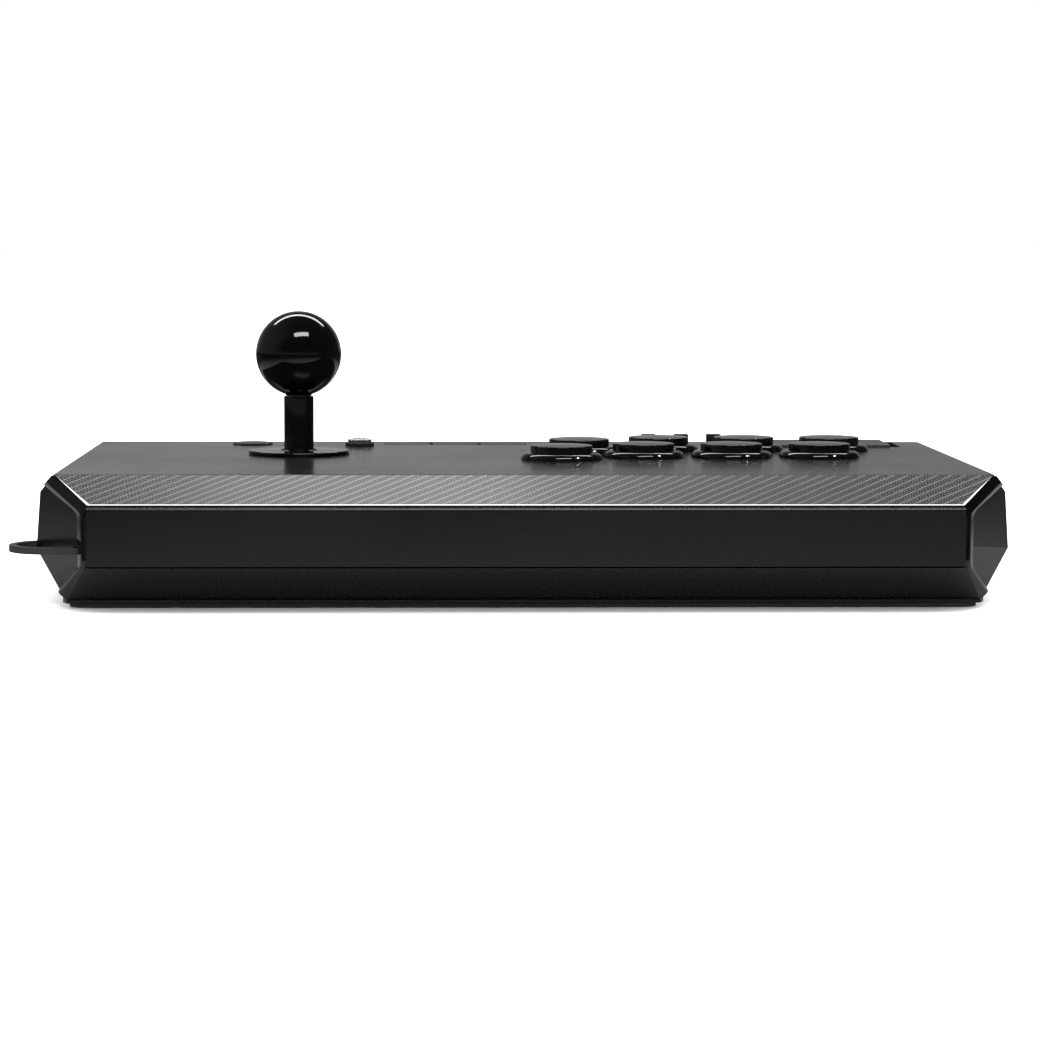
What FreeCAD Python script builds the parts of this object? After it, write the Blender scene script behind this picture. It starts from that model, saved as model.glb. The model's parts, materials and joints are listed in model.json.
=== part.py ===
import FreeCAD, Part
import math
import os
import re
import Sketcher

# Arcade fight stick: a low six-sided case with a ball-top lever on the left and eight
# push buttons on the right.  Millimetres.  X runs to the right, Y to the back, Z up.
# The origin is the middle of the flat underside, where the case stands on a desk.

Vector = FreeCAD.Vector

SIZES = {
    # case
    "top_level": 51.0, "panel_thick": 2.0, "fold_half": 177.8, "fold_y": -86.0,
    "bevel_y": -103.3, "bevel_level": 40.9, "face_y": -106.0, "face_top": 40.1,
    "face_low": 18.2, "face_half": 163.6, "skirt_y": -83.0, "skirt_level": 3.0,
    "skirt_half": 174.0, "wall": 2.5, "seam": 0.2, "panel_back": 92.0,
    "back_y": 104.0, "back_top": 43.0, "back_low": 10.0, "back_foot_y": 96.0,
    "back_half": 169.5, "corner_round": 1.5, "pad_thick": 1.6, "base_thick": 1.6,
    "chassis_half": 170.5, "chassis_front": -78.0, "chassis_back": 90.0,
    # lever
    "lever_x": -90.0, "lever_y": 21.0, "pivot_level": 36.0, "ball_radius": 17.5,
    "ball_level": 92.1, "ball_flat": 75.1, "rod_radius": 4.75, "rod_low": 6.0,
    "cover_radius": 6.1, "cover_low": 43.5, "washer_radius": 20.8, "washer_thick": 1.5,
    "lever_hole": 12.0, "pivot_radius": 9.0, "running_gap": 0.05, "plate_level": 45.0,
    "plate_thick": 1.6, "lever_box": 62.0, "lever_box_low": 14.0, "cavity_radius": 21.0,
    "cavity_top": 32.4, "gate_half": 13.0, "gate_thick": 3.0, "actuator_radius": 7.5,
    # buttons
    "button_x": 50.9, "button_y": 4.0, "button_pitch": 36.0, "first_gap": 34.0,
    "first_drop": 12.0, "row_shift": 9.1, "row_depth": 38.0, "rim_radius": 16.5,
    "rim_height": 2.7, "barrel_radius": 15.0, "barrel_low": 29.0, "bore_radius": 12.55,
    "plunger_radius": 12.5, "plunger_top": 6.1, "plunger_low": 41.0, "switch_level": 28.8,
    # controls along the back edge
    "key_x": -24.9, "key_y": 79.0, "key_pitch": 20.6, "key_wide": 19.2, "key_deep": 11.4,
    "home_x": -112.0, "home_y": 76.0, "home_radius": 8.5, "knob_x": -66.0, "knob_y": 68.0,
    "knob_radius": 6.2, "knob_height": 2.9, "slide_x": 57.6, "slide_y": 64.5,
    "slide_pitch": 13.9, "slide_wide": 5.9, "slide_height": 5.2, "touch_x": 130.6,
    "touch_y": 75.0, "touch_wide": 60.8, "touch_deep": 30.4, "touch_height": 1.1,
    "notch": 4.6, "board_level": 42.0,
    # carrying loop on the left end
    "loop_x": -180.1, "loop_y": -83.0, "loop_level": 23.2, "loop_radius": 13.5,
    "loop_wide": 3.0, "loop_thick": 2.6,
    # cable inlet in the back
    "usb_x": -60.0, "usb_level": 26.0,
}

doc = FreeCAD.newDocument("JoystickPanel")
sheet = doc.addObject("Spreadsheet::Sheet", "Sizes")
for row, (alias, value) in enumerate(SIZES.items(), 1):
    sheet.set(f"A{row}", alias)
    sheet.set(f"B{row}", str(value))
    sheet.setAlias(f"B{row}", alias)
doc.recompute()

finished = []


def bound(text):
    """An expression with its plain words pointed at the sheet's cells."""
    return re.sub(r"\b[a-z]\w*", lambda word: "Sizes." + word.group(0), str(text))


def number(text):
    return float(sheet.evalExpression(bound(text)))


def finish(item, name):
    item.Label = name
    finished.append(item)
    return item


def placed(item, x=0, y=0, z=0):
    for axis, text in zip("xyz", (x, y, z)):
        item.setExpression(f"Placement.Base.{axis}", bound(text))
    return item


# ---- Part primitives and booleans whose sizes are tied to the sheet ----

def cylinder(name, radius, height, x=0, y=0, z=0):
    item = doc.addObject("Part::Cylinder", name)
    item.setExpression("Radius", bound(radius))
    item.setExpression("Height", bound(height))
    return placed(item, x, y, z)


def cone(name, low_radius, high_radius, height, x=0, y=0, z=0):
    item = doc.addObject("Part::Cone", name)
    item.setExpression("Radius1", bound(low_radius))
    item.setExpression("Radius2", bound(high_radius))
    item.setExpression("Height", bound(height))
    return placed(item, x, y, z)


def ball(name, radius, x=0, y=0, z=0):
    item = doc.addObject("Part::Sphere", name)
    item.setExpression("Radius", bound(radius))
    return placed(item, x, y, z)


def block(name, wide, deep, tall, x=0, y=0, z=0):
    """A box centred on x and y that stands on z."""
    item = doc.addObject("Part::Box", name)
    item.setExpression("Length", bound(wide))
    item.setExpression("Width", bound(deep))
    item.setExpression("Height", bound(tall))
    return placed(item, f"{x} - ({wide}) / 2", f"{y} - ({deep}) / 2", z)


def cut(name, base, *tools):
    for count, tool in enumerate(tools):
        item = doc.addObject("Part::Cut", f"{name}_cut{count}")
        item.Base = base
        item.Tool = tool
        base = item
    return base


def fuse(name, *pieces):
    item = doc.addObject("Part::MultiFuse", name)
    item.Shapes = list(pieces)
    return item


def common(name, first, second):
    item = doc.addObject("Part::Common", name)
    item.Base = first
    item.Tool = second
    return item


def group(name, *pieces):
    """Separate identical solids that share one sub-part."""
    item = doc.addObject("Part::Compound", name)
    item.Links = list(pieces)
    return item


def mirrored(name, source):
    item = doc.addObject("Part::Mirroring", name)
    item.Source = source
    item.Normal = Vector(1, 0, 0)
    return item


# ---- sketches and features ----

def sketch_on(body, role, offset=0):
    """A sketch on one of the body's own origin planes, moved along its normal."""
    item = body.newObject("Sketcher::SketchObject", f"{body.Name}_sketch")
    plane = next(f for f in body.Origin.OriginFeatures if f.Role == role)
    item.AttachmentSupport = [(plane, "")]
    item.MapMode = "FlatFace"
    item.setExpression("AttachmentOffset.Base.z", bound(offset))
    return item


def tie(sketch, kind, element, point, text):
    """One dimension measured from the sketch's origin and tied to the sheet."""
    if kind == "Radius":
        rule = Sketcher.Constraint(kind, element, number(text))
    else:
        rule = Sketcher.Constraint(kind, -1, 1, element, point, number(text))
    place = sketch.addConstraint(rule)
    sketch.setExpression(f"Constraints[{place}]", bound(text))


def outline(sketch, corners):
    """A closed outline of straight lines through corners given as (across, up)."""
    points = [Vector(number(across), number(up), 0) for across, up in corners]
    first = sketch.GeometryCount
    count = len(points)
    for step in range(count):
        line = Part.LineSegment(points[step], points[(step + 1) % count])
        sketch.addGeometry(line, False)
    for step, corner in enumerate(corners):
        after = first + (step + 1) % count
        sketch.addConstraint(Sketcher.Constraint("Coincident", first + step, 2, after, 1))
        tie(sketch, "DistanceX", first + step, 1, corner[0])
        tie(sketch, "DistanceY", first + step, 1, corner[1])


def rectangle(sketch, x, y, wide, deep):
    sides = [(-1, -1), (1, -1), (1, 1), (-1, 1)]
    outline(sketch, [(f"{x} + ({a}) * ({wide}) / 2", f"{y} + ({b}) * ({deep}) / 2")
                     for a, b in sides])


def circle(sketch, x, y, radius):
    shape = Part.Circle(Vector(number(x), number(y), 0), Vector(0, 0, 1), number(radius))
    element = sketch.addGeometry(shape, False)
    tie(sketch, "DistanceX", element, 3, x)
    tie(sketch, "DistanceY", element, 3, y)
    tie(sketch, "Radius", element, 0, radius)


def pad(body, sketch, length, both_ways=False, backwards=False):
    item = body.newObject("PartDesign::Pad", f"{body.Name}_pad")
    item.Profile = sketch
    item.setExpression("Length", bound(length))
    item.Midplane = both_ways
    item.Reversed = backwards
    return item


def pocket(body, sketch, backwards=False):
    """A cut right through, checked to remove something."""
    doc.recompute()
    before = body.Shape.Volume
    item = body.newObject("PartDesign::Pocket", f"{body.Name}_pocket")
    item.Profile = sketch
    item.Type = 1
    item.Reversed = backwards
    doc.recompute()
    if body.Shape.Volume >= before:
        raise RuntimeError(f"a pocket in {body.Name} cuts nothing")
    return item


def fillet(body, radius, wanted):
    """Rounds the edges whose middle point passes the test."""
    doc.recompute()
    tip = body.Tip
    names = [f"Edge{place}" for place, edge in enumerate(tip.Shape.Edges, 1)
             if wanted(edge.CenterOfMass)]
    item = body.newObject("PartDesign::Fillet", f"{body.Name}_fillet")
    item.Base = (tip, names)
    item.setExpression("Radius", bound(radius))
    return item


def body_named(name):
    return doc.addObject("PartDesign::Body", name)


def profile_bar(name, corners, length):
    """A bar along X whose section is drawn as (y, z) corners."""
    body = body_named(name)
    sketch = sketch_on(body, "YZ_Plane")
    outline(sketch, corners)
    pad(body, sketch, length, both_ways=True)
    return body


def trim_ends(body, near_half, near_y, far_half, far_y):
    """Cuts both ends of a bar along the slanted plan line from near to far."""
    slope = f"({far_half} - {near_half}) / ({far_y} - {near_y})"
    reach = 30
    low = f"{near_half} - ({slope}) * {reach}"
    high = f"{far_half} + ({slope}) * {reach}"
    sketch = sketch_on(body, "XY_Plane", 60)
    for side in (1, -1):
        outline(sketch, [(f"({side}) * ({low})", f"{near_y} - {reach}"),
                         (f"({side}) * 240", f"{near_y} - {reach}"),
                         (f"({side}) * 240", f"{far_y} + {reach}"),
                         (f"({side}) * ({high})", f"{far_y} + {reach}")])
    pocket(body, sketch)


# ---- casing ----

def button_places():
    """Eight button centres: the front row of four, then the back row of four."""
    places = []
    for row in range(2):
        for column in range(4):
            step = "- first_gap" if column == 0 else f"+ {column - 1} * button_pitch"
            drop = "- first_drop" if column == 0 else ""
            places.append((f"button_x + {row} * row_shift {step}",
                           f"button_y + {row} * row_depth {drop}"))
    return places


def slide_places():
    return [f"slide_x + {step} * slide_pitch" for step in range(3)]


def key_places():
    return [f"key_x + ({step}) * key_pitch" for step in (-1, 0, 1)]


def make_top_panel():
    body = body_named("TopPanel")
    sketch = sketch_on(body, "XY_Plane", "top_level - panel_thick")
    rectangle(sketch, 0, "(fold_y + panel_back) / 2", "2 * fold_half", "panel_back - fold_y")
    pad(body, sketch, "panel_thick")
    fillet(body, "corner_round", lambda p: abs(p.x) > 177 and p.y > 91)
    holes = sketch_on(body, "XY_Plane", "top_level")
    for x, y in button_places():
        circle(holes, x, y, "barrel_radius + 0.1")
    circle(holes, "lever_x", "lever_y", "lever_hole")
    circle(holes, "home_x", "home_y", "home_radius + 0.3")
    circle(holes, "knob_x", "knob_y", 3.3)
    rectangle(holes, "key_x", "key_y", "2 * key_pitch + key_wide + 0.6", "key_deep + 0.6")
    for x in slide_places():
        rectangle(holes, x, "slide_y", "slide_wide - 0.9 + 4", 4.4)
    rectangle(holes, "touch_x + notch / 2", "touch_y", "touch_wide + notch + 0.6",
              "touch_deep + 0.6")
    pocket(body, holes)
    return finish(body, "top_panel")


def make_front_trim(rims):
    body = profile_bar("FrontTrim", [
        ("fold_y - seam", "top_level - 0.1"), ("bevel_y", "bevel_level"),
        ("bevel_y", "bevel_level - wall * 1.15"),
        ("fold_y - seam", "top_level - wall * 1.15")], "2 * fold_half + 6")
    trim_ends(body, "face_half - 0.4", "bevel_y", "fold_half + 0.1", "fold_y")
    return finish(cut("FrontTrim", body, *rims), "front_trim")


def make_front_panel(rims):
    body = body_named("FrontPanel")
    sketch = sketch_on(body, "XZ_Plane", "-face_y")
    rectangle(sketch, 0, "(face_top + face_low) / 2", "2 * face_half", "face_top - face_low")
    pad(body, sketch, "wall", backwards=True)
    fillet(body, 1.2, lambda p: p.y < -105.9 and p.z > 40)
    return finish(cut("FrontPanel", body, *rims), "front_panel")


def make_front_skirt(rims):
    body = profile_bar("FrontSkirt", [
        ("face_y + 0.5", "face_low - 0.6"), ("skirt_y", "skirt_level"),
        ("skirt_y", "skirt_level - 1.3"), ("skirt_y + 4", "skirt_level - 1.3"),
        ("skirt_y + 4", "skirt_level + 0.6"), ("face_y + 5", "face_low - 0.6")],
        "2 * fold_half")
    trim_ends(body, "face_half - 0.2", "face_y", "skirt_half", "skirt_y")
    return finish(cut("FrontSkirt", body, *rims), "front_skirt")


def make_rear_panel():
    """A bent plate across the back, its ends flush with the end covers' faces."""
    body = profile_bar("RearPanel", [
        ("panel_back + seam", "top_level - 0.1"), ("back_y", "back_top"),
        ("back_y", "back_low"), ("back_foot_y", "pad_thick + 0.1"),
        ("chassis_back + 1", "pad_thick + 0.1"), ("chassis_back + 1", "pad_thick + 2.4"),
        ("back_foot_y - 1", "pad_thick + 2.4"), ("back_y - wall", "back_low + 0.8"),
        ("back_y - wall", "back_top - 1.4"), ("panel_back + seam", "top_level - wall * 1.2")],
        "2 * fold_half + 20")
    sketch = sketch_on(body, "XZ_Plane", "-back_y - 5")
    rectangle(sketch, "usb_x", "usb_level", 12.4, 11.4)
    pocket(body, sketch, backwards=True)
    half = cover_block(0, -1)
    envelope = doc.addObject("Part::Feature", "Envelope")
    envelope.Shape = half.fuse(half.mirror(Vector(0, 0, 0), Vector(1, 0, 0)))
    return finish(common("RearPanelFit", body, envelope), "rear_panel")


def half_space(point, normal):
    """A large block that lies wholly on the outer side of a plane."""
    reach = 400
    turn = FreeCAD.Rotation(Vector(0, 0, 1), normal)
    item = Part.makeBox(reach, reach, reach, Vector(-reach / 2, -reach / 2, 0))
    item.Placement = FreeCAD.Placement(point, turn)
    return item


def side_planes(inset):
    """Faces of the right-hand end cover, each as three points, moved in by inset."""
    top, fold = number("top_level"), number("fold_half")
    ridge = Vector(186.2, -72.5, 21.7)
    nose = Vector(166.8, -99.6, 25)
    back_ridge = Vector(186.2, 84, 21.7)
    tail = Vector(number("back_half"), number("back_y"), 25)
    shoulder = Vector(184.2, 0, 43.6)
    hip = Vector(177.3, 0, 6.7)
    foot = Vector(176.8, -77.3, 7.0)
    down = Vector(0, 0, 1)
    along = Vector(0, 1, 0)
    across = Vector(1, 0, 0)
    back_low = Vector(0, number("back_y"), number("back_low"))
    back_foot = Vector(0, number("back_foot_y"), number("pad_thick + 0.1"))
    trim_drop, skirt_rise = 1.2, 1.4
    fold_edge = Vector(0, number("fold_y"), top - trim_drop)
    bevel_edge = Vector(0, number("bevel_y"), number("bevel_level") - trim_drop)
    face_edge = Vector(0, number("face_y"), number("face_low") + skirt_rise)
    skirt_edge = Vector(0, number("skirt_y"), number("skirt_level") + skirt_rise)
    blunt = Vector(0, -103.4, 0)
    top_edge = Vector(0, number("panel_back"), top)
    back_top = Vector(0, number("back_y"), number("back_top"))
    trios = [
        (Vector(fold, 0, top), shoulder, shoulder + along),
        (shoulder, ridge, ridge + along),
        (ridge, hip, hip + along),
        (hip, Vector(174, 0, 1.7), hip + along),
        (nose, ridge, nose + down * 15),
        (nose, ridge, foot),
        (tail, back_ridge, tail + down * 15),
        (back_low, back_low + across, back_foot),
        (fold_edge, fold_edge + across, bevel_edge),
        (face_edge, face_edge + across, skirt_edge),
        (blunt, blunt + across, blunt + down),
        (top_edge, top_edge + across, back_top),
    ]
    middle = Vector(150, 0, 25)
    planes = []
    for first, second, third in trios:
        normal = (second - first).cross(third - first).normalize()
        if normal.dot(middle - first) > 0:
            normal = -normal
        planes.append((first - normal * inset, normal))
    return planes


def cover_block(inset, inner_x):
    low = number("pad_thick + 0.1") + inset
    high = number("top_level") - inset
    item = Part.makeBox(200 - inner_x, 240, high - low, Vector(inner_x, -120, low))
    for point, normal in side_planes(inset):
        item = item.cut(half_space(point, normal))
    return item


def make_side_cover(loop, neighbours):
    """A hollow end cover, open towards the middle of the case, and its mirror image.

    Returns at the nose and the tail reach inwards behind the front and rear panels.
    """
    mouth, inwards, beyond = 172.5, 158, 150
    hollow = cover_block(number("wall"), beyond)
    shell = cover_block(0, mouth).cut(hollow)
    solid = cover_block(0, inwards)
    returns = []
    for start, depth in ((-120, 41), (94, 10)):
        reach = Part.makeBox(mouth - inwards, depth, 60, Vector(inwards, start, 0))
        returns.append(solid.common(reach).cut(hollow))
    thick, fold = number("panel_thick"), number("fold_half")
    level = number("top_level") - thick - 0.1
    under = Part.makeBox(60, 260, thick + 0.1, Vector(fold - 60, -130, level))
    item = doc.addObject("Part::Feature", "SideCover")
    item.Shape = shell.fuse(returns).removeSplitter().cut(under)
    trimmed = cut("RightCover", item, *neighbours)
    doc.recompute()
    whole = doc.addObject("Part::Feature", "RightCoverSolid")
    whole.Shape = max(trimmed.Shape.Solids, key=lambda piece: piece.Volume)
    right = finish(whole, "right_side_cover")
    left = cut("LeftCover", mirrored("LeftSideCover", right), loop)
    finish(left, "left_side_cover")


def make_rims():
    """Gloss ribs down both front corners: four parallelogram sections joined by flats."""
    top, low = number("top_level"), number("face_low")
    corners = [
        [(178.15, -86.4, top), (180.5, -84.6, 48.4), (182.3, -80.8, 46.6)],
        [(163.1, -104.3, 40.9), (165.3, -103.4, 38.2), (167.8, -99.6, 37.9)],
        [(163.5, -106.3, low), (165.7, -104.2, low), (167.6, -99.8, low)],
        [(173.4, -83.4, 2.7), (176.3, -82.3, 5.6), (177.0, -77.8, 7.2)],
    ]
    wires = []
    for corner in corners:
        front, outer, rear = [Vector(*point) for point in corner]
        wires.append(Part.makePolygon([front, outer, rear, front + rear - outer, front]))
    item = doc.addObject("Part::Feature", "Rim")
    item.Shape = Part.makeLoft(wires, True, True)
    right = finish(item, "right_corner_rib")
    return [right, finish(mirrored("LeftRim", right), "left_corner_rib")]


def make_chassis():
    """The inner tray: four walls, ribs for the front trim and bosses for the screws."""
    body = body_named("Chassis")
    sketch = sketch_on(body, "XY_Plane", "pad_thick + base_thick + 0.1")
    depth, middle = "chassis_back - chassis_front", "(chassis_front + chassis_back) / 2"
    rectangle(sketch, 0, middle, "2 * chassis_half", depth)
    rectangle(sketch, 0, middle, "2 * chassis_half - 2 * wall", f"{depth} - 2 * wall")
    pad(body, sketch, "top_level - panel_thick - pad_thick - base_thick - 0.3")
    bosses = sketch_on(body, "XY_Plane", "pad_thick + base_thick + 0.1")
    for x, y in screw_places():
        circle(bosses, x, y, 4)
    pad(body, bosses, "top_level - panel_thick - pad_thick - base_thick - 0.3")
    bores = sketch_on(body, "XY_Plane", "pad_thick + base_thick + 12")
    for x, y in screw_places():
        circle(bores, x, y, 1.55)
    pocket(body, bores)
    notch = block("TrayNotch", "touch_wide + notch + 5", "touch_deep + 1.2", 9,
                  "touch_x + notch / 2", "touch_y", "top_level - panel_thick - 3.8")
    return finish(cut("ChassisNotched", body, notch), "chassis")


def screw_places():
    return [(f"({side}) * (chassis_half - 6)", y) for side in (-1, 1)
            for y in ("chassis_front + 6", -12, 50)]


def make_base():
    plate = body_named("BasePlate")
    sketch = sketch_on(plate, "XY_Plane", "pad_thick")
    rectangle(sketch, 0, "(skirt_y + 4.2 + chassis_back + 0.8) / 2", "2 * chassis_half + 2",
              "chassis_back + 0.8 - skirt_y - 4.2")
    for x, y in screw_places():
        circle(sketch, x, y, 1.7)
    pad(plate, sketch, "base_thick")
    rubber = body_named("BasePad")
    sketch = sketch_on(rubber, "XY_Plane")
    rectangle(sketch, 0, "(skirt_y + 0.6 + back_foot_y - 1) / 2", "2 * skirt_half - 1",
              "back_foot_y - 1 - skirt_y - 0.6")
    for x, y in screw_places():
        circle(sketch, x, y, 4)
    pad(rubber, sketch, "pad_thick")
    fillet(rubber, 7, lambda p: abs(abs(p.x) - 173.5) < 0.01 and abs(p.z - 0.8) < 0.01)
    finish(plate, "base_plate")
    finish(rubber, "base_pad")


def screw(name, radius, length, x, y, z, up=True):
    """A pan-head screw whose head's inner face is at z."""
    head = cylinder(f"{name}_head", f"{radius} * 2", 1.2, x, y, f"{z} - 1.2" if up else z)
    stem = cylinder(f"{name}_stem", radius, f"{length}", x, y, z if up else f"{z} - {length}")
    socket = cylinder(f"{name}_recess", f"{radius} * 0.6", 0.8, x, y,
                      f"{z} - 1.3" if up else f"{z} + 0.5")
    return cut(name, fuse(f"{name}_blank", head, stem), socket)


def make_base_screws():
    screws = [screw(f"BaseScrew{count}", 1.5, 11, x, y, "pad_thick")
              for count, (x, y) in enumerate(screw_places())]
    finish(group("BaseScrews", *screws), "base_screws")


def make_loop():
    """A flat U-shaped loop: two straight strands joined by a half ring."""
    def slot(name, radius, tall, z):
        ring = cylinder(f"{name}Round", radius, tall, "loop_x", "loop_y", z)
        near = block(f"{name}Near", 17, radius, tall, "loop_x + 8.5", f"loop_y - ({radius}) / 2", z)
        far = block(f"{name}Far", 6, radius, tall, "loop_x + 3", f"loop_y + ({radius}) / 2", z)
        return fuse(name, ring, near, far)
    outer = slot("LoopOuter", "loop_radius + loop_wide / 2", "loop_thick",
                 "loop_level - loop_thick / 2")
    inner = slot("LoopInner", "loop_radius - loop_wide / 2", 20, "loop_level - 10")
    tail = block("LoopGap", 30, "2 * loop_radius - loop_wide", 20, "loop_x + 10", "loop_y",
                 "loop_level - 10")
    return finish(cut("CarryLoop", outer, inner, tail), "carry_loop")


def make_usb_socket():
    shell = block("UsbShell", 12, 12.4, 11, "usb_x", "back_y - 6.8", "usb_level - 5.5")
    mouth = block("UsbMouth", 8.6, 10, 8, "usb_x", "back_y - 5.6", "usb_level - 4")
    tongue = block("UsbTongue", 5.6, 9.8, 1.6, "usb_x", "back_y - 6", "usb_level + 2.5")
    finish(fuse("UsbSocket", cut("UsbBlank", shell, mouth), tongue), "usb_socket")


# ---- lever ----

def at_lever(maker, name, *sizes, z):
    return maker(name, *sizes, "lever_x", "lever_y", z)


def make_lever_moving():
    sphere = at_lever(ball, "BallBlank", "ball_radius", z="ball_level")
    flat = at_lever(cylinder, "BallFlat", "ball_radius", "ball_radius", z="ball_flat - ball_radius")
    seat = at_lever(cylinder, "BallBore", "rod_radius", 22, z="ball_flat - 1")
    finish(cut("BallTop", sphere, flat, seat), "ball_top")
    rod = at_lever(cylinder, "Rod", "rod_radius - 0.02", "ball_flat + 20 - rod_low", z="rod_low")
    groove = at_lever(cylinder, "RodGroove", "rod_radius + 1", 1, z="rod_low + 1.5")
    core = at_lever(cylinder, "RodCore", "rod_radius - 1", 1, z="rod_low + 1.5")
    finish(cut("LeverRod", rod, cut("GrooveRing", groove, core)), "lever_rod")
    sleeve = at_lever(cylinder, "Sleeve", "cover_radius", "ball_flat - 0.3 - cover_low", z="cover_low")
    bore = at_lever(cylinder, "SleeveBore", "rod_radius", "ball_flat", z="cover_low - 1")
    finish(cut("ShaftCover", sleeve, bore), "shaft_cover")
    pivot = at_lever(ball, "PivotBlank", "pivot_radius", z="pivot_level")
    slice_of = at_lever(cylinder, "PivotSlice", "pivot_radius + 1", 9.2, z="pivot_level - 4.2")
    bore = at_lever(cylinder, "PivotBore", "rod_radius", 30, z="pivot_level - 15")
    finish(cut("PivotBall", common("PivotBand", pivot, slice_of), bore), "pivot_ball")
    body = at_lever(cylinder, "ActuatorBlank", "actuator_radius", 11, z=10)
    bore = at_lever(cylinder, "ActuatorBore", "rod_radius", 20, z=5)
    finish(cut("Actuator", body, bore), "actuator")
    clip = at_lever(cylinder, "ClipBlank", 6.5, 0.8, z="rod_low + 1.6")
    bore = at_lever(cylinder, "ClipBore", "rod_radius - 0.95", 3, z="rod_low + 0.5")
    mouth = block("ClipMouth", 4.4, 9, 3, "lever_x", "lever_y - 4.5", "rod_low + 0.5")
    finish(cut("RetainingClip", clip, bore, mouth), "retaining_clip")


def make_washers():
    disc = at_lever(cylinder, "DiscBlank", "washer_radius", "washer_thick", z="top_level + 0.1")
    hub = at_lever(cone, "DiscHub", "cover_radius + 2.6", "cover_radius + 1.8", 1,
                   z="top_level + 0.1 + washer_thick")
    bore = at_lever(cylinder, "DiscBore", "cover_radius + 0.9", 9, z="top_level - 3")
    finish(cut("DustWasher", fuse("DiscWithHub", disc, hub), bore), "dust_washer")
    disc = at_lever(cylinder, "InnerDiscBlank", 24, 0.9, z="plate_level + plate_thick + 0.6")
    bore = at_lever(cylinder, "InnerDiscBore", 10.6, 9, z="plate_level")
    finish(cut("InnerWasher", disc, bore), "inner_dust_washer")
    ring = at_lever(cylinder, "SpringSeatBlank", 11, 1, z=28.6)
    bore = at_lever(cylinder, "SpringSeatBore", 7.2, 9, z=25)
    finish(cut("SpringSeat", ring, bore), "spring_seat")


def make_lever_spring():
    """A close compression spring round the rod, wound in short straight runs, under its seat."""
    pitch, turns, radius, wire, runs = 2.2, 2, 9.1, 0.8, 20
    angles = [2 * math.pi * count / runs for count in range(turns * runs + 1)]
    points = [Vector(radius * math.cos(angle), radius * math.sin(angle),
                     pitch * angle / (2 * math.pi)) for angle in angles]
    section = Part.Wire(Part.makeCircle(wire, points[0], points[1] - points[0]))
    mitred = 1
    item = doc.addObject("Part::Feature", "LeverSpring")
    item.Shape = Part.makePolygon(points).makePipeShell([section], True, False, mitred)
    placed(item, "lever_x", "lever_y", 28.55 - wire - pitch * turns)
    finish(item, "lever_spring")


def make_lever_fixed():
    box = at_lever(block, "HousingBlank", "lever_box", "lever_box",
                   "plate_level - lever_box_low", z="lever_box_low")
    cavity = at_lever(cylinder, "HousingCavity", "cavity_radius",
                      "cavity_top - lever_box_low + 1", z="lever_box_low - 1")
    seat = at_lever(ball, "HousingSeat", "pivot_radius + running_gap", z="pivot_level")
    throat = at_lever(cone, "HousingThroat", 7.6, 9.6, 9, z="pivot_level + 4")
    finish(cut("LeverHousing", box, cavity, seat, throat), "lever_housing")
    plate = at_lever(block, "PlateBlank", 95, 66, "plate_thick", z="plate_level")
    hole = at_lever(cylinder, "PlateHole", 13, 9, z="plate_level - 4")
    holes = [cylinder(f"PlateFix{count}", 2.1, 9, x, y, "plate_level - 4")
             for count, (x, y) in enumerate(lever_fixings())]
    finish(cut("MountPlate", plate, hole, *holes), "lever_mount_plate")
    gate = at_lever(block, "GateBlank", "lever_box", "lever_box", "gate_thick",
                    z="lever_box_low - gate_thick")
    window = at_lever(block, "GateWindow", "2 * gate_half", "2 * gate_half", 9,
                      z="lever_box_low - 6")
    finish(cut("Gate", gate, window), "restrictor_gate")
    switches = []
    for count, (a, b) in enumerate([(1, 0), (-1, 0), (0, 1), (0, -1)]):
        wide, deep = ("6.4", "20") if a else ("20", "6.4")
        switches.append(block(f"LeverSwitch{count}", wide, deep, 7.4, f"lever_x + ({a}) * 16",
                              f"lever_y + ({b}) * 16", "lever_box_low + 0.05"))
    squeeze = at_lever(cylinder, "SwitchRoom", "cavity_radius - 0.1", 9, z="lever_box_low")
    trimmed = [common(f"LeverSwitchFit{count}", item, squeeze)
               for count, item in enumerate(switches)]
    finish(group("LeverSwitches", *trimmed), "lever_switches")


def lever_fixings():
    return [(f"lever_x + ({a}) * 41", f"lever_y + ({b}) * 25") for a in (-1, 1) for b in (-1, 1)]


def make_lever_screws():
    """Four spacers with a screw each hold the lever's plate under the top panel."""
    screws = []
    for count, (x, y) in enumerate(lever_fixings()):
        stem = cylinder(f"LeverScrewStem{count}", 2, "top_level - panel_thick - plate_level",
                        x, y, "plate_level")
        sleeve = cylinder(f"LeverSpacer{count}", 3.6,
                          "top_level - panel_thick - plate_level - plate_thick", x, y,
                          "plate_level + plate_thick")
        head = cylinder(f"LeverScrewHead{count}", 3.6, 2, x, y, "plate_level - 2")
        screws.append(fuse(f"LeverScrew{count}", stem, sleeve, head))
    finish(group("LeverScrews", *screws), "lever_screws")


# ---- buttons ----

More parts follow.
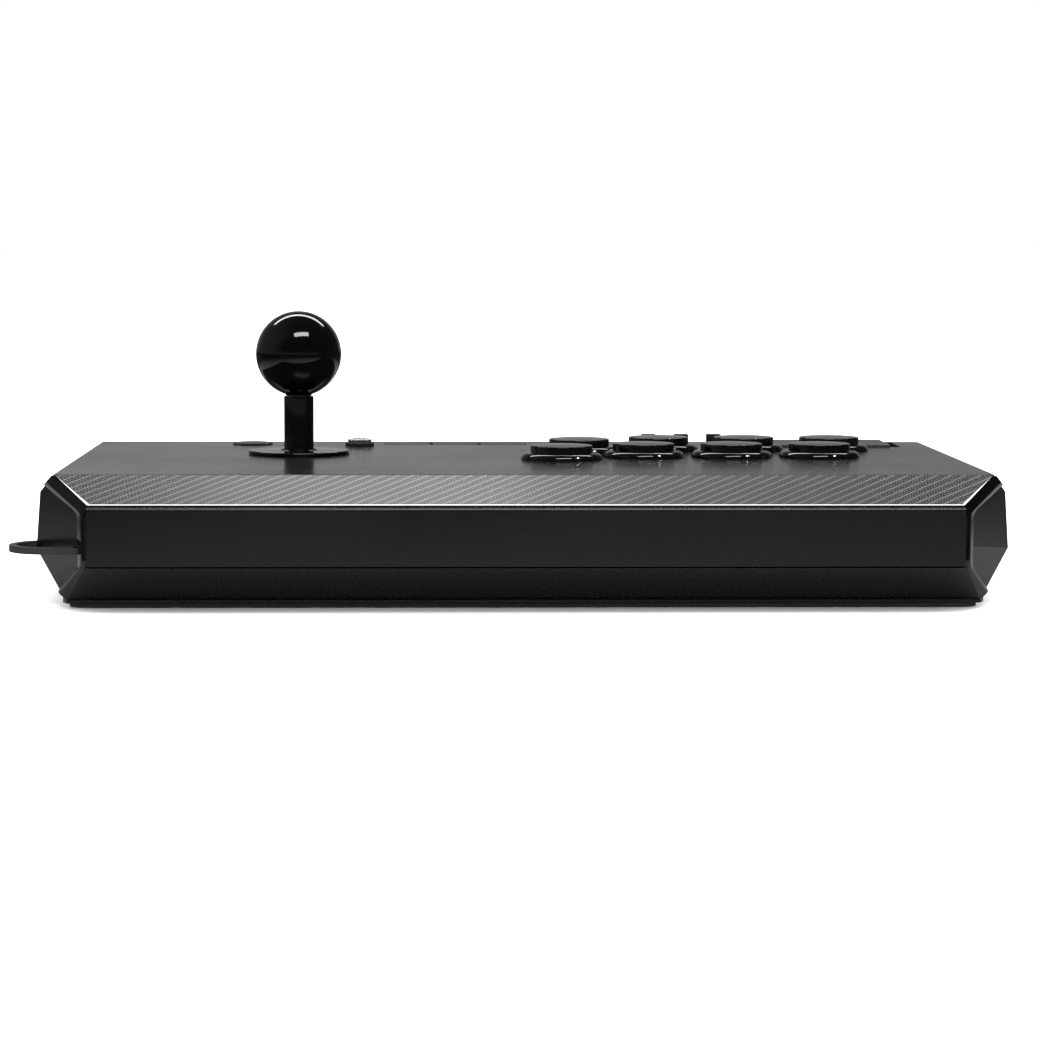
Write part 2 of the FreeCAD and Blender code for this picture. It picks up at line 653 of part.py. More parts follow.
def make_button(count, x, y):
    """One snap-in button: a flanged barrel fixed in the panel and the plunger in it."""
    low, height = "barrel_low", "top_level - barrel_low"
    name = f"Button{count}"
    barrel = cylinder(f"{name}Barrel", "barrel_radius", height, z=low)
    flange = cylinder(f"{name}Flange", "rim_radius", 0.9, z="top_level")
    dome = cone(f"{name}Dome", "rim_radius", "bore_radius + 1.4", "rim_height - 0.9",
                z="top_level + 0.9")
    tabs = [block(f"{name}Tab{side}", 1.2, 6, 2, f"({side}) * (barrel_radius + 0.5)", 0,
                  "top_level - panel_thick - 2.1") for side in (-1, 1)]
    well = cylinder(f"{name}Well", "bore_radius", 40, z="barrel_low + 2")
    eye = cylinder(f"{name}Eye", 3.4, 9, z="barrel_low - 1")
    housing = cut(f"{name}Housing", fuse(f"{name}Blank", barrel, flange, dome, *tabs), well, eye)
    finish(placed(housing, x, y), f"button_{count}_housing")
    crown = cylinder(f"{name}Crown", "plunger_radius", "top_level + plunger_top - 0.5 - plunger_low",
                     z="plunger_low")
    edge = cone(f"{name}Edge", "plunger_radius", "plunger_radius - 0.7", 0.5,
                z="top_level + plunger_top - 0.5")
    hollow = cylinder(f"{name}Hollow", "plunger_radius - 1.5", "top_level + plunger_top - 2 - plunger_low",
                      z="plunger_low")
    stem = cylinder(f"{name}Stem", 2.8, "top_level + plunger_top - barrel_low - 3.6",
                    z="barrel_low + 2.6")
    shell = cut(f"{name}Shell", fuse(f"{name}Cap", crown, edge), hollow)
    plunger = fuse(f"{name}Plunger", shell, stem)
    finish(placed(plunger, x, y), f"button_{count}_plunger")


def make_buttons():
    switches = []
    for count, (x, y) in enumerate(button_places(), 1):
        make_button(count, x, y)
        switches.append(block(f"ButtonSwitch{count}", 20, 6.4, 9.8, x, y, "switch_level - 9.8"))
    finish(group("ButtonSwitches", *switches), "button_switches")


# ---- controls along the back edge ----

def make_keys():
    for x, name in zip(key_places(), ("share_key", "options_key", "mode_key")):
        cap = block(f"{name}_cap", "key_wide", "key_deep", 2.6, x, "key_y", "top_level - 2.5")
        stem = cylinder(f"{name}_stem", 1.8, 3.2, x, "key_y", "top_level - 5.5")
        finish(fuse(f"{name}_solid", cap, stem), name)
    disc = cylinder("HomeDisc", "home_radius", 3.3, "home_x", "home_y", "top_level - 2.5")
    stem = cylinder("HomeStem", 1.8, 3.2, "home_x", "home_y", "top_level - 5.5")
    finish(fuse("HomeButton", disc, stem), "home_button")


def make_knob():
    cap = cylinder("KnobCap", "knob_radius", "knob_height - 0.2", "knob_x", "knob_y",
                   "top_level + 0.2")
    stem = cylinder("KnobStem", 3, "top_level + 0.3 - board_level - 1.9", "knob_x", "knob_y",
                    "board_level + 1.8")
    finish(fuse("Knob", cap, stem), "volume_knob")


def make_slides():
    for count, x in enumerate(slide_places(), 1):
        cap = block(f"SlideCap{count}", "slide_wide", "slide_wide", "slide_height - 0.2", x, "slide_y",
                    "top_level + 0.2")
        stem = block(f"SlideStem{count}", "slide_wide - 0.9", 4, "panel_thick + 4", x, "slide_y",
                     "top_level - panel_thick - 3.6")
        finish(fuse(f"Slide{count}", cap, stem), f"mode_slide_{count}")


def make_touchpad():
    plate = block("TouchPlate", "touch_wide", "touch_deep", "touch_height + 1", "touch_x", "touch_y",
                  "top_level - 1")
    finish(plate, "touchpad")
    tray = block("TrayBlank", "touch_wide + notch + 4", "touch_deep + 0.5", 3.4, "touch_x + notch / 2",
                 "touch_y", "top_level - panel_thick - 3.5")
    well = block("TrayWell", "touch_wide + notch + 1", "touch_deep - 3", 9, "touch_x + notch / 2",
                 "touch_y", "top_level - panel_thick - 2")
    finish(cut("TouchTray", tray, well), "touchpad_tray")


def make_boards():
    board = block("FunctionBoard", 240, 24, 1.6, -2, 75, "board_level")
    finish(board, "function_board")
    board = block("MainBoard", 110, 70, 1.6, 90, 20, 8.2)
    finish(board, "main_board")
    posts = []
    for count, (x, y) in enumerate([(40, -10), (140, -10), (40, 50), (140, 50)]):
        posts.append(cylinder(f"Post{count}", 3, 4.7, x, y, 3.4))
    finish(group("BoardPosts", *posts), "board_posts")


def check(items):
    """Stops if any object failed or any sub-part is not a sound shape."""
    for item in doc.Objects:
        if {"Invalid", "Error"} & set(item.State):
            raise RuntimeError(f"{item.Name} is {item.State}")
    for item in items:
        if item.Shape.isNull() or not item.Shape.isValid():
            raise RuntimeError(f"{item.Label} has no sound shape")
        if not item.Shape.Solids:
            raise RuntimeError(f"{item.Label} holds no solid")


def main():
    make_top_panel()
    rims = make_rims()
    neighbours = [rims[0], make_front_trim(rims), make_front_panel(rims),
                  make_front_skirt(rims), make_rear_panel()]
    make_side_cover(make_loop(), neighbours)
    make_chassis()
    make_base()
    make_base_screws()
    make_usb_socket()
    make_lever_moving()
    make_washers()
    make_lever_spring()
    make_lever_fixed()
    make_lever_screws()
    make_buttons()
    make_keys()
    make_knob()
    make_slides()
    make_touchpad()
    make_boards()
    doc.recompute()
    check(finished)
    os.makedirs("parts", exist_ok=True)
    for item in finished:
        item.Shape.exportStep(f"parts/{item.Label}.step")
        print(item.Label, len(item.Shape.Solids), round(item.Shape.Volume))


main()
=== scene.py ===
import json
import math

import bmesh
import bpy
from mathutils import Matrix, Vector


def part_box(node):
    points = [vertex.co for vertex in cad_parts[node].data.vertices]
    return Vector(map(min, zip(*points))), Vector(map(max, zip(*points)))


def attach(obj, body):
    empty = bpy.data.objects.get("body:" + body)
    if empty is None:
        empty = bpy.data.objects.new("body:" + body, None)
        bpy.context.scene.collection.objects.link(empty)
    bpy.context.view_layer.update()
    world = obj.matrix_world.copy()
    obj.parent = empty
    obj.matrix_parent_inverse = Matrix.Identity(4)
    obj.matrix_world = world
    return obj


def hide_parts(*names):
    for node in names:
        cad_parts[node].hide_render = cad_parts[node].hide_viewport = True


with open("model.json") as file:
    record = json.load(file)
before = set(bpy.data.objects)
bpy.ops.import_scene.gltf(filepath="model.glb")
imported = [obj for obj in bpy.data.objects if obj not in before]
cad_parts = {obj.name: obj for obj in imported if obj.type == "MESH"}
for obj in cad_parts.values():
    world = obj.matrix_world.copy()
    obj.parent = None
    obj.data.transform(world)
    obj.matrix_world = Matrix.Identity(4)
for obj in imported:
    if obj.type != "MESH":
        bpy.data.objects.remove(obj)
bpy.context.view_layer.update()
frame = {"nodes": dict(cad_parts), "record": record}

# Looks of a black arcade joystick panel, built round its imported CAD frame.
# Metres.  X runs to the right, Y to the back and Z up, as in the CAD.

MM = 0.001
SLOT_OF = {part["node"]: part["material_slot"] for part in frame["record"]["subparts"]}
BODY_OF = {node: body for body, nodes in frame["record"]["behaviour"]["bodies"].items()
           for node in nodes}
BUTTONS = range(1, 9)
SLIDES = range(1, 4)


# ---------------------------------------------------------------- materials

class Nodes:
    """A node tree, with one short call for each kind of node used here."""

    def __init__(self, tree):
        self.tree = tree

    def add(self, kind, inputs=None, **settings):
        node = self.tree.nodes.new(kind)
        for key, value in settings.items():
            setattr(node, key, value)
        for key, value in (inputs or {}).items():
            self.feed(node.inputs[key], value)
        return node

    def feed(self, socket, value):
        if isinstance(value, bpy.types.NodeSocket):
            self.tree.links.new(value, socket)
        else:
            socket.default_value = value

    def sum(self, operation, first, second=0.0, third=0.0):
        """One step of arithmetic, such as ADD or MULTIPLY."""
        node = self.add("ShaderNodeMath", operation=operation)
        for socket, value in zip(node.inputs, (first, second, third)):
            self.feed(socket, value)
        return node.outputs[0]

    def span(self, value, low, high, out_low=0.0, out_high=1.0):
        """value's range low to high, eased onto out_low to out_high."""
        return self.add("ShaderNodeMapRange", {"Value": value, "From Min": low,
                                               "From Max": high, "To Min": out_low,
                                               "To Max": out_high},
                        interpolation_type="SMOOTHSTEP").outputs[0]

    def blend(self, share, first, second):
        return self.add("ShaderNodeMix", {0: share, 2: first, 3: second},
                        data_type="FLOAT").outputs[0]


class Paint(Nodes):
    """A new material's nodes, round its one shader."""

    def __init__(self, name):
        self.material = bpy.data.materials.new(name)
        self.material.use_nodes = True
        super().__init__(self.material.node_tree)
        self.shader = self.tree.nodes["Principled BSDF"]
        self.place = self.add("ShaderNodeTexCoord").outputs["Object"]

    def noise(self, scale, detail=2.0, stretch=(1, 1, 1), turn=(0, 0, 0)):
        """Noise with about scale features in a metre, squeezed by stretch on each axis."""
        where = self.add("ShaderNodeMapping", {"Vector": self.place, "Scale": stretch,
                                               "Rotation": turn}).outputs[0]
        return self.add("ShaderNodeTexNoise", {"Vector": where, "Scale": scale,
                                               "Detail": detail}).outputs[0]

    def cells(self, scale):
        return self.add("ShaderNodeTexVoronoi", {"Vector": self.place,
                                                 "Scale": scale}).outputs["Distance"]

    def tint(self, share, first, second):
        node = self.add("ShaderNodeMix", data_type="RGBA")
        for socket, value in ((node.inputs[0], share), (node.inputs[6], first),
                              (node.inputs[7], second)):
            self.feed(socket, value)
        return node.outputs[2]

    def edges(self, radius, strength):
        """strength on worn edges and 0 on faces, broken up by noise."""
        eased_normal = self.add("ShaderNodeBevel", {"Radius": radius}, samples=6).outputs[0]
        plain_normal = self.add("ShaderNodeNewGeometry").outputs["Normal"]
        likeness = self.add("ShaderNodeVectorMath", {0: eased_normal, 1: plain_normal},
                            operation="DOT_PRODUCT").outputs["Value"]
        edge = self.span(likeness, 0.995, 0.86)
        patchy = self.span(self.noise(260, 4), 0.42, 0.66, 0.15, 1.0)
        return self.sum("MULTIPLY", self.sum("MULTIPLY", edge, patchy), strength)

    def bump(self, height, distance, strength=1.0, under=None):
        inputs = {"Height": height, "Distance": distance, "Strength": strength}
        if under is not None:
            inputs["Normal"] = under
        return self.add("ShaderNodeBump", inputs).outputs[0]

    def done(self, colour, rough, normal, **flat):
        """Wires the shader.  flat holds the numbers that are the same all over."""
        self.feed(self.shader.inputs["Base Color"], colour)
        self.feed(self.shader.inputs["Roughness"], rough)
        self.feed(self.shader.inputs["Normal"], normal)
        for key, value in flat.items():
            self.shader.inputs[key.replace("_", " ")].default_value = value
        return self.material


def grey(level, warm=0.0):
    return (level * (1 + warm), level, level * (1 - warm), 1)


def moulded(name, dark, light, rough, grain, depth, worn):
    """Moulded or coated surface: soft tone patches, a fine grain, rubbed edges, hairlines.

    It runs from dark to light, and over the two ends of rough.  The grain has about
    grain bumps in a metre, depth mm deep."""
    paint = Paint(name)
    patches = paint.noise(16, 3)
    fine = paint.noise(grain, 3)
    pits = paint.cells(grain * 0.7)
    hair = paint.span(paint.noise(60, 2, (1, 45, 45), (0, 0, 0.5)), 0.66, 0.74)
    edge = paint.edges(0.5 * MM, worn)
    tone = paint.sum("ADD", paint.span(patches, 0.3, 0.7, 0, 0.6),
                     paint.span(fine, 0.35, 0.65, 0, 0.4))
    colour = paint.tint(tone, dark, light)
    rubbed = tuple(min(1, 2.2 * part + 0.012) for part in light[:3]) + (1,)
    colour = paint.tint(edge, colour, rubbed)
    low, high = rough
    base = paint.span(patches, 0.32, 0.68, low, high)
    base = paint.sum("ADD", base, paint.span(fine, 0.3, 0.7, -0.03, 0.03))
    base = paint.sum("ADD", base, paint.sum("MULTIPLY", hair, 0.05))
    base = paint.sum("SUBTRACT", base, paint.sum("MULTIPLY", edge, 0.25 * low))
    relief = paint.sum("ADD", fine, paint.span(pits, 0.0, 0.5, -0.5, 0))
    normal = paint.bump(relief, depth * MM)
    normal = paint.bump(hair, 0.002 * MM, 0.5, normal)
    return paint.done(colour, base, normal)


def polished(name, dark, light, rough, worn):
    """Polished plastic: deep colour, faint ripple, hairlines, finger haze and dust."""
    paint = Paint(name)
    haze = paint.noise(22, 4)
    ripple = paint.noise(130, 1)
    lines = paint.span(paint.noise(90, 2, (1, 30, 30), (0.3, 0.2, 0.9)), 0.64, 0.70)
    cross = paint.span(paint.noise(80, 2, (34, 1, 34), (0.2, 0.5, -0.4)), 0.65, 0.71)
    hair = paint.sum("MAXIMUM", lines, cross)
    dust = paint.span(paint.cells(900), 0.05, 0.02)
    dust = paint.sum("MULTIPLY", dust, paint.span(paint.noise(70, 2), 0.56, 0.62))
    edge = paint.edges(0.4 * MM, worn)
    colour = paint.tint(paint.span(haze, 0.3, 0.7), dark, light)
    colour = paint.tint(paint.sum("MULTIPLY", dust, 0.35), colour, grey(0.22, 0.03))
    colour = paint.tint(edge, colour, tuple(3 * part for part in light[:3]) + (1,))
    low, high = rough
    base = paint.span(haze, 0.35, 0.7, low, high)
    base = paint.sum("ADD", base, paint.sum("MULTIPLY", hair, 0.06))
    base = paint.sum("ADD", base, paint.sum("MULTIPLY", dust, 0.3))
    normal = paint.bump(ripple, 0.004 * MM)
    normal = paint.bump(hair, 0.001 * MM, 0.4, normal)
    return paint.done(colour, base, normal)


def carbon(name):
    """Carbon-look film on a piece's sloping face, and plain black on its other faces.

    Raised threads run on a slant, with two rows of dots between them.  A pale line of
    painted highlight follows the film's front and side edges."""
    slope = math.radians(30.3)
    slant = math.radians(34)
    thread_pitch, dot_pitch = 3.08, 1.35
    # Where the painted highlight lines sit along the film's front and side edges, and how soft
    # they are.
    highlight_front, highlight_side, highlight_blur = -67.95 * MM, -0.95 * MM, 0.15 * MM
    # The film's front edge, its half width there, and how fast that grows up the slope.
    foot_climb, foot_half, lean = -68.55 * MM, 163.1 * MM, 0.7647
    paint = Paint(name)
    x, y, z = paint.add("ShaderNodeSeparateXYZ", {0: paint.place}).outputs
    facing = paint.add("ShaderNodeSeparateXYZ", {
        0: paint.add("ShaderNodeNewGeometry").outputs["Normal"]}).outputs[2]
    film = paint.span(facing, 0.55, 0.75)

    climb = paint.sum("ADD", paint.sum("MULTIPLY", y, math.cos(slope)),
                      paint.sum("MULTIPLY", z, math.sin(slope)))
    across = paint.sum("SUBTRACT", paint.sum("MULTIPLY", climb, math.cos(slant)),
                       paint.sum("MULTIPLY", x, math.sin(slant)))
    along = paint.sum("ADD", paint.sum("MULTIPLY", climb, math.sin(slant)),
                      paint.sum("MULTIPLY", x, math.cos(slant)))
    wander = paint.sum("MULTIPLY", paint.span(paint.noise(90, 2), 0.3, 0.7, -1, 1), 0.08 * MM)
    phase = paint.sum("FRACT", paint.sum("DIVIDE", paint.sum("ADD", across, wander),
                                         thread_pitch * MM))
    thread = paint.sum("ABSOLUTE", paint.sum("SUBTRACT", phase, 0.5))
    thread = paint.span(thread, 0.08, 0.115, 1, 0)
    dots = 0.0
    for centre, shift in ((0.17, 0.0), (0.83, 0.5)):
        step = paint.sum("DIVIDE", along, dot_pitch * MM)
        step = paint.sum("FRACT", paint.sum("ADD", step, shift))
        step = paint.sum("MULTIPLY", paint.sum("SUBTRACT", step, 0.5), dot_pitch)
        aside = paint.sum("MULTIPLY", paint.sum("SUBTRACT", phase, centre), thread_pitch)
        reach = paint.sum("SQRT", paint.sum("ADD", paint.sum("MULTIPLY", aside, aside),
                                            paint.sum("MULTIPLY", step, step)))
        dots = paint.sum("MAXIMUM", dots, paint.span(reach, 0.17, 0.30, 0.9, 0))

    side_edge = paint.sum("MULTIPLY_ADD", climb, lean, foot_half - foot_climb * lean)
    inside = paint.sum("SUBTRACT", paint.sum("ABSOLUTE", x), side_edge)
    # Painted highlight: pale lines along the film's front and side edges, standing in for light
    # caught on the band's rims.
    edge_highlight = paint.sum("MAXIMUM", paint.span(climb, highlight_front - highlight_blur, highlight_front, 1, 0),
                    paint.span(inside, highlight_side, highlight_side + 0.2 * MM))
    edge_highlight = paint.sum("MULTIPLY", edge_highlight, film)
    open_film = paint.sum("MULTIPLY", film, paint.sum("SUBTRACT", 1.0, edge_highlight))
    raised = paint.sum("MULTIPLY", paint.sum("MAXIMUM", thread, dots), open_film)

    weave = paint.noise(1500, 2, (1, 3, 3), (0, 0, 0.6))
    patches = paint.noise(14, 3)
    colour = paint.tint(paint.span(weave, 0.3, 0.7), grey(0.003), grey(0.006))
    colour = paint.tint(raised, colour, paint.tint(patches, grey(0.075), grey(0.098)))
    # The painted highlight lines, in pale grey.
    colour = paint.tint(edge_highlight, colour, grey(0.70))
    colour = paint.tint(film, grey(0.002), colour)
    rough = paint.span(patches, 0.3, 0.7, 0.32, 0.40)
    rough = paint.sum("SUBTRACT", rough, paint.sum("MULTIPLY", raised, 0.08))
    normal = paint.bump(raised, 0.02 * MM)
    normal = paint.bump(weave, 0.004 * MM, 0.5, normal)
    return paint.done(colour, rough, normal, Coat_Weight=0.25, Coat_Roughness=0.2)


def metal(name, dark, light, rough, stretch):
    """Plated or turned metal: brushing stretched one way, stains and bright edges."""
    paint = Paint(name)
    brush = paint.noise(70, 3, stretch)
    stain = paint.noise(35, 4)
    edge = paint.edges(0.3 * MM, 0.7)
    colour = paint.tint(paint.span(brush, 0.3, 0.7), dark, light)
    colour = paint.tint(paint.span(stain, 0.55, 0.8, 0, 0.4), colour,
                        tuple(0.6 * part for part in dark[:3]) + (1,))
    colour = paint.tint(edge, colour, tuple(min(1, 1.3 * part) for part in light[:3]) + (1,))
    low, high = rough
    base = paint.sum("ADD", paint.span(brush, 0.3, 0.7, low, high),
                     paint.span(stain, 0.4, 0.8, 0, 0.12))
    return paint.done(colour, base, paint.bump(brush, 0.01 * MM), Metallic=1.0)


def board(name):
    """Green solder mask over raised tracks, with bright pads."""
    paint = Paint(name)
    tracks = paint.add("ShaderNodeTexBrick", {"Vector": paint.place, "Scale": 120,
                                              "Mortar Size": 0.05}).outputs["Fac"]
    pads = paint.span(paint.cells(260), 0.16, 0.12)
    mask = paint.tint(tracks, (0.008, 0.05, 0.02, 1), (0.02, 0.12, 0.05, 1))
    mask = paint.tint(paint.span(paint.noise(60, 3), 0.4, 0.7, 0, 0.4), mask,
                      (0.01, 0.04, 0.02, 1))
    colour = paint.tint(pads, mask, (0.55, 0.42, 0.2, 1))
    rough = paint.span(paint.noise(400, 3), 0.3, 0.7, 0.28, 0.42)
    return paint.done(colour, rough, paint.bump(paint.sum("ADD", tracks, pads), 0.03 * MM))


def make_materials():
    return {
        "panel_satin": moulded(
            "panel_satin", (0.0090, 0.0086, 0.0088, 1), (0.0125, 0.0120, 0.0123, 1),
            rough=(0.18, 0.22), grain=2400, depth=0.0018, worn=0.4),
        "trim_carbon": carbon("trim_carbon"),
        "case_matte": moulded(
            "case_matte", grey(0.0012), grey(0.0024),
            rough=(0.24, 0.31), grain=1900, depth=0.005, worn=0.15),
        "gloss_black": polished(
            "gloss_black", grey(0.0008), grey(0.0014), rough=(0.05, 0.09), worn=0.3),
        "rubber_black": moulded(
            "rubber_black", grey(0.012), grey(0.02),
            rough=(0.55, 0.7), grain=1500, depth=0.03, worn=0.3),
        "plate_steel": metal(
            "plate_steel", grey(0.42, 0.01), grey(0.6),
            rough=(0.22, 0.36), stretch=(1, 30, 30)),
        "lever_plastic": moulded(
            "lever_plastic", grey(0.022), grey(0.035),
            rough=(0.4, 0.5), grain=1300, depth=0.03, worn=0.5),
        "white_plastic": moulded(
            "white_plastic", grey(0.72, 0.02), grey(0.82, 0.03),
            rough=(0.3, 0.4), grain=1300, depth=0.015, worn=0.2),
        "switch_plastic": moulded(
            "switch_plastic", grey(0.03), grey(0.055),
            rough=(0.38, 0.5), grain=1500, depth=0.02, worn=0.5),
        "button_gloss": polished(
            "button_gloss", grey(0.0010), grey(0.0018), rough=(0.07, 0.11), worn=0.15),
        "key_plastic": moulded(
            "key_plastic", grey(0.006), grey(0.010),
            rough=(0.28, 0.36), grain=2200, depth=0.01, worn=0.5),
        "knob_metal": metal(
            "knob_metal", grey(0.5), grey(0.68), rough=(0.2, 0.3), stretch=(30, 30, 1)),
        "touch_satin": moulded(
            "touch_satin", grey(0.022), grey(0.034),
            rough=(0.30, 0.38), grain=2600, depth=0.008, worn=0.5),
        "board_green": board("board_green"),
    }


# ------------------------------------------------------------------- meshes

def piece(name, points, faces):
    """A new smooth object from points and faces, creased where faces meet sharply."""
    mesh = bpy.data.meshes.new(name)
    mesh.from_pydata([tuple(point) for point in points], [], faces)
    work = bmesh.new()
    work.from_mesh(mesh)
    bmesh.ops.recalc_face_normals(work, faces=work.faces)
    work.to_mesh(mesh)
    work.free()
    mesh.shade_smooth()
    mesh.set_sharp_from_angle(angle=math.radians(38))
    made = bpy.data.objects.new(name, mesh)
    bpy.context.scene.collection.objects.link(made)
    return made


def eased(corners):
    """A closed run of (point, cut) corners, each rounded off over its cut length."""
    steps = 5
    run = []
    for place, (here, cut) in enumerate(corners):
        if not cut:
            run.append(here)
            continue
        before = corners[place - 1][0]
        after = corners[(place + 1) % len(corners)][0]
        start = here + (before - here).normalized() * cut
        end = here + (after - here).normalized() * cut
        for step in range(steps + 1):
            t = step / steps
            run.append(start * (1 - t) ** 2 + here * 2 * t * (1 - t) + end * t * t)
    return run


def skin(name, loops, closed=False):
    """Quads between loops of equal length: closed to the first loop, or capped at the ends."""
    count = len(loops[0])
    points = [point for loop in loops for point in loop]
    faces = []
    pairs = len(loops) if closed else len(loops) - 1
    for row in range(pairs):
        below = row * count
        above = (row + 1) % len(loops) * count
        for step in range(count):
            after = (step + 1) % count
            faces.append((below + step, below + after, above + after, above + step))
    if not closed:
        faces.append(tuple(range(count))[::-1])
        faces.append(tuple(range((len(loops) - 1) * count, len(loops) * count)))
    return piece(name, points, faces)


def turned(name, profile, middle, steps, teeth=0, bite=0.0):
    """A closed profile of (radius, level) in mm, turned about an upright axis in metres.

    With teeth, points that have a third number are pushed in and out to knurl them."""
    loops = []
    for step in range(steps):
        angle = 2 * math.pi * step / steps
        wave = bite * math.cos(teeth * angle)
        loop = []
        for across, level, *knurled in profile:
            reach = (across + (wave if knurled else 0)) * MM
            loop.append(Vector((middle.x + reach * math.cos(angle),
                                middle.y + reach * math.sin(angle), level * MM)))
        loops.append(loop)
    made = skin(name, loops, closed=True)
    work = bmesh.new()
    work.from_mesh(made.data)
    bmesh.ops.remove_doubles(work, verts=work.verts, dist=1e-7)
    bmesh.ops.recalc_face_normals(work, faces=work.faces)
    work.to_mesh(made.data)
    work.free()
    return made


def ring(corners):
    """A rounded profile for turned() from (radius, level, cut) corners in mm."""
    return [(point.x, point.y)
            for point in eased([(Vector((a, b)), cut) for a, b, cut in corners])]


def arc(middle, across, up, start, end, steps):
    """Points of an ellipse's arc in mm, with angles in degrees."""
    angles = [math.radians(start + (end - start) * step / steps) for step in range(steps + 1)]
    return [(middle[0] + across * math.cos(a), middle[1] + up * math.sin(a)) for a in angles]


def measured(node):
    """A round node's middle in metres, and its radius, top and foot in mm."""
    low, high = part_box(node)
    return (low + high) / 2, (high.x - low.x) / 2 / MM, high.z / MM, low.z / MM


def worked(node, edge, sharp=28):
    """A copy of a CAD node's mesh with its sharp edges rounded, in place of the node."""
    mesh = frame["nodes"][node].data.copy()
    work = bmesh.new()
    work.from_mesh(mesh)
    bmesh.ops.remove_doubles(work, verts=work.verts, dist=2e-6)
    bmesh.ops.dissolve_limit(work, angle_limit=math.radians(0.4), verts=work.verts,
                             edges=work.edges)
    corners = [e for e in work.edges if len(e.link_faces) == 2
               and e.calc_face_angle() > math.radians(sharp)]
    bmesh.ops.bevel(work, geom=corners, offset=edge * MM, offset_type="OFFSET",
                    segments=3, profile=0.5, affect="EDGES", clamp_overlap=True)
    bmesh.ops.recalc_face_normals(work, faces=work.faces)
    work.to_mesh(mesh)
    work.free()
    mesh.name = node + "_worked"
    mesh.shade_smooth()
    mesh.set_sharp_from_angle(angle=math.radians(50))
    made = bpy.data.objects.new(node + "_looks", mesh)
    bpy.context.scene.collection.objects.link(made)
    even = made.modifiers.new("even_normals", "WEIGHTED_NORMAL")
    even.keep_sharp = True
    settle(made, node)


def settle(made, node, slot=None):
    """Puts a piece in place of a CAD node: on its body, with its slot's material."""
    name = slot or SLOT_OF[node]
    made.data.materials.clear()
    made.data.materials.append(MATERIALS[name])
    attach(made, BODY_OF[node])
    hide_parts(node)


# ------------------------------------------------------------------- pieces

def make_lever():
    middle, radius, top, foot = measured("ball_top")
    level = top - radius
    boss = 5.4
    lowest = -math.degrees(math.acos(boss / radius))
    profile = [(0, top)] + arc((0, level), radius, radius, 89, lowest, 72)
    profile += [(boss, foot - 0.1), (boss - 0.2, foot - 0.24), (0, foot - 0.24)]
    settle(turned("ball_looks", profile, middle, 160), "ball_top")

    middle, shaft, top, foot = measured("shaft_cover")
    rod = 4.8
    profile = ring([(rod, foot, 0.15), (shaft, foot, 0.4), (shaft, top, 0.55),
                    (rod, top, 0.15)])
    settle(turned("shaft_cover_looks", profile, middle, 96), "shaft_cover")

    middle, radius, top, foot = measured("dust_washer")
    disc = top - 1.0
    bore = shaft + 0.9
    profile = ring([(bore, foot, 0.15), (radius, foot, 0.5), (radius, disc + 0.02, 0.7),
                    (radius - 2.4, disc - 0.10, 0.9), (bore + 0.7, disc - 0.04, 0.2),
                    (bore + 0.5, disc + 0.25, 0.12), (bore, disc + 0.25, 0.12)])
    settle(turned("dust_washer_looks", profile, middle, 128), "dust_washer")


def make_button(number):
    """A snap-in housing with a quarter-round rim, and its domed plunger."""
    node = f"button_{number}_housing"
    middle, rim, top, foot = measured(node)
    rim_height = 2.7
    panel = top - rim_height
    barrel, bore, land = 15.0, 12.62, 13.45
    profile = [(rim, panel)] + arc((land, panel + 0.35), rim - land, top - panel - 0.35,
                                   0, 86, 12)
    profile += [(land - 0.25, top), (bore + 0.28, top - 0.02), (bore + 0.06, top - 0.12),
                (bore, top - 0.35), (bore, foot + 0.3), (bore + 0.3, foot),
                (barrel - 0.3, foot), (barrel, foot + 0.3),
                (barrel, panel - 0.02), (rim - 0.1, panel)]
    settle(turned(f"button_{number}_rim", profile, middle, 128), node)

    node = f"button_{number}_plunger"
    middle, radius, top, foot = measured(node)
    shelf, stem = 41.0, 2.9
    dome_share, dome_drop, dome_steps = 0.94, 0.46, 14
    dome = [(radius * dome_share * step / dome_steps, top - dome_drop * (step / dome_steps) ** 2)
            for step in range(dome_steps + 1)]
    profile = dome + [(radius - 0.42, top - 0.50), (radius - 0.20, top - 0.55),
                      (radius - 0.05, top - 0.68), (radius, top - 0.90),
                      (radius, shelf + 0.3), (radius - 0.3, shelf), (stem + 0.1, shelf),
                      (stem, foot + 0.3), (stem - 0.3, foot), (0, foot)]
    settle(turned(f"button_{number}_cap", profile, middle, 112), node)


# Front, outer and rear corners of the right rib's section, in mm: at the top panel,
# at the foot of the sloping band, at the foot of the front face and at the pad.
RIB_STATIONS = (((178.15, -86.4, 51), (180.5, -84.6, 48.4), (182.3, -80.8, 46.6)),
                ((163.1, -104.3, 40.9), (165.3, -103.4, 38.2), (167.8, -99.6, 37.9)),
                ((163.5, -106.3, 18.2), (165.7, -104.2, 18.2), (167.6, -99.8, 18.2)),
                ((173.4, -83.4, 2.7), (176.3, -82.3, 5.6), (177, -77.8, 7.2)))


def make_ribs():
    """The rounded gloss ribs down the front corners, from the top panel to the pad."""
    bulge = 0.55
    steps_between, smoothings = 16, 2
    for side, node in ((1, "right_corner_rib"), (-1, "left_corner_rib")):
        rings = []
        for station in RIB_STATIONS:
            front, outer, rear = (Vector((side * x, y, z)) * MM for x, y, z in station)
            proud = outer + (outer - (front + rear) / 2) * bulge
            inner = front + rear - outer
            rings.append(eased([(front, 0.6 * MM), (proud, 1.5 * MM), (rear, 0.6 * MM),
                                (inner, 0.3 * MM)]))
        loops = []
        for upper, lower in zip(rings, rings[1:]):
            for step in range(steps_between):
                share = step / steps_between
                loops.append([a.lerp(b, share) for a, b in zip(upper, lower)])
        loops.append(rings[-1])
        for _ in range(smoothings):
            middle = [[(a + 2 * b + c) / 4 for a, b, c in zip(*three)]
                      for three in zip(loops, loops[1:], loops[2:])]
            loops = [loops[0]] + middle + [loops[-1]]
        settle(skin(node + "_looks", loops), node)


